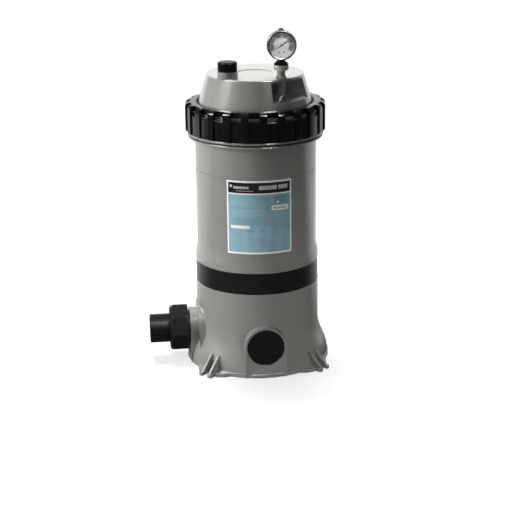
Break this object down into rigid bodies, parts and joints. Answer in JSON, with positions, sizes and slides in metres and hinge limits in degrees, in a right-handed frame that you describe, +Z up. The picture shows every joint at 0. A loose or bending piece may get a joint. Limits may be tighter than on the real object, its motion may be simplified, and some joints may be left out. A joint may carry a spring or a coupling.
{
  "type": "pool cartridge filter",
  "caption": "Floor-standing cylindrical filter tank with slotted feet, side union ports, a threaded lock ring over a domed lid, relief knob and dial gauge.",
  "frame": {"origin": "on the floor, at the centre of the tank's foot, under the tank axis", "axes": "+Z up along the tank axis, -X along the inlet union, +Y along the outlet union, -Y through the plugged front port and the label"},
  "size_m": [0.429, 0.429, 0.7915],
  "materials": {
    "tank_plastic": "glossy warm grey moulded plastic",
    "band_plastic": "satin black",
    "ring_plastic": "gloss black moulded plastic",
    "fitting_plastic": "satin black moulded plastic",
    "label_film": null,
    "seal_rubber": "black rubber",
    "gauge_steel": "drawn stainless steel",
    "gauge_window": "clear window",
    "dial_paint": "white painted dial with black ticks and plain numbers",
    "pointer_paint": "black paint",
    "gauge_brass": "bare brass",
    "manifold_plastic": "pale grey moulded plastic",
    "cap_plastic": "dark blue cast end caps",
    "filter_cloth": "pleated white polyester cloth",
    "strap_plastic": "pale woven strap"
  },
  "bodies": {
    "root": {"tank_base": "tank_plastic", "tank_barrel": "tank_plastic", "trim_band": "band_plastic", "label_plate": "label_film", "lid_oring": "seal_rubber", "inlet_bulkhead": "fitting_plastic", "inlet_gasket": "seal_rubber", "inlet_oring": "seal_rubber", "inlet_tailpiece": "fitting_plastic", "inlet_diffuser": "manifold_plastic", "outlet_bulkhead": "fitting_plastic", "outlet_gasket": "seal_rubber", "outlet_oring": "seal_rubber", "outlet_tailpiece": "fitting_plastic", "outlet_manifold": "manifold_plastic", "manifold_oring": "seal_rubber", "air_bleed_tube": "manifold_plastic", "air_bleed_strainer": "manifold_plastic"},
    "lid": {"lid": "tank_plastic", "gauge_adapter": "tank_plastic", "gauge_seal_nut": "ring_plastic", "gauge_stem": "gauge_steel", "gauge_case": "gauge_steel", "gauge_bezel": "gauge_steel", "gauge_lens": "gauge_window", "gauge_dial": "dial_paint", "gauge_dial_screws": "pointer_paint", "gauge_movement": "gauge_brass", "gauge_bourdon_tube": "gauge_brass", "gauge_vent_plug": "seal_rubber"},
    "lock_ring": {"lock_ring": "ring_plastic"},
    "relief_valve": {"relief_cap": "ring_plastic", "relief_stem": "fitting_plastic", "relief_oring": "seal_rubber"},
    "pointer": {"gauge_pointer": "pointer_paint"},
    "cartridge": {"cartridge_top_cap": "cap_plastic", "cartridge_bottom_cap": "cap_plastic", "cartridge_core": "manifold_plastic", "cartridge_pleats": "filter_cloth", "cartridge_bands": "strap_plastic"},
    "inlet_nut": {"inlet_union_nut": "fitting_plastic"},
    "outlet_nut": {"outlet_union_nut": "fitting_plastic"},
    "plug": {"drain_plug": "fitting_plastic", "drain_plug_oring": "seal_rubber"}
  },
  "joints": [
    {"name": "lid_lift", "type": "slide", "parent": "root", "child": "lid", "axis": [0, 0, 1], "range_m": [0, 1]},
    {"name": "cartridge_lift", "type": "slide", "parent": "root", "child": "cartridge", "axis": [0, 0, 1], "range_m": [0, 0.5]},
    {"name": "ring_turn", "type": "hinge", "parent": "lid", "child": "lock_ring", "pos_m": [0, 0, 0.586], "axis": [0, 0, 1], "continuous": true},
    {"name": "relief_turn", "type": "hinge", "parent": "lid", "child": "relief_valve", "pos_m": [-0.06792, -0.05905, 0.705], "axis": [0, 0, 1], "range_deg": [0, 180]},
    {"name": "pointer_swing", "type": "hinge", "parent": "lid", "child": "pointer", "pos_m": [0.05033, -0.07461, 0.755], "axis": [0, 1, 0], "range_deg": [0, 246], "stiffness_Nm_per_rad": 0.001},
    {"name": "inlet_nut_turn", "type": "hinge", "parent": "root", "child": "inlet_nut", "pos_m": [-0.19, 0, 0.073], "axis": [-1, 0, 0], "continuous": true},
    {"name": "outlet_nut_turn", "type": "hinge", "parent": "root", "child": "outlet_nut", "pos_m": [0, 0.19, 0.073], "axis": [0, 1, 0], "continuous": true},
    {"name": "plug_turn", "type": "hinge", "parent": "root", "child": "plug", "pos_m": [0, -0.158, 0.073], "axis": [0, -1, 0], "continuous": true}
  ],
  "couplings": [
    {"joint": "cartridge_lift", "follows": "lid_lift", "ratio": 0.5}
  ]
}
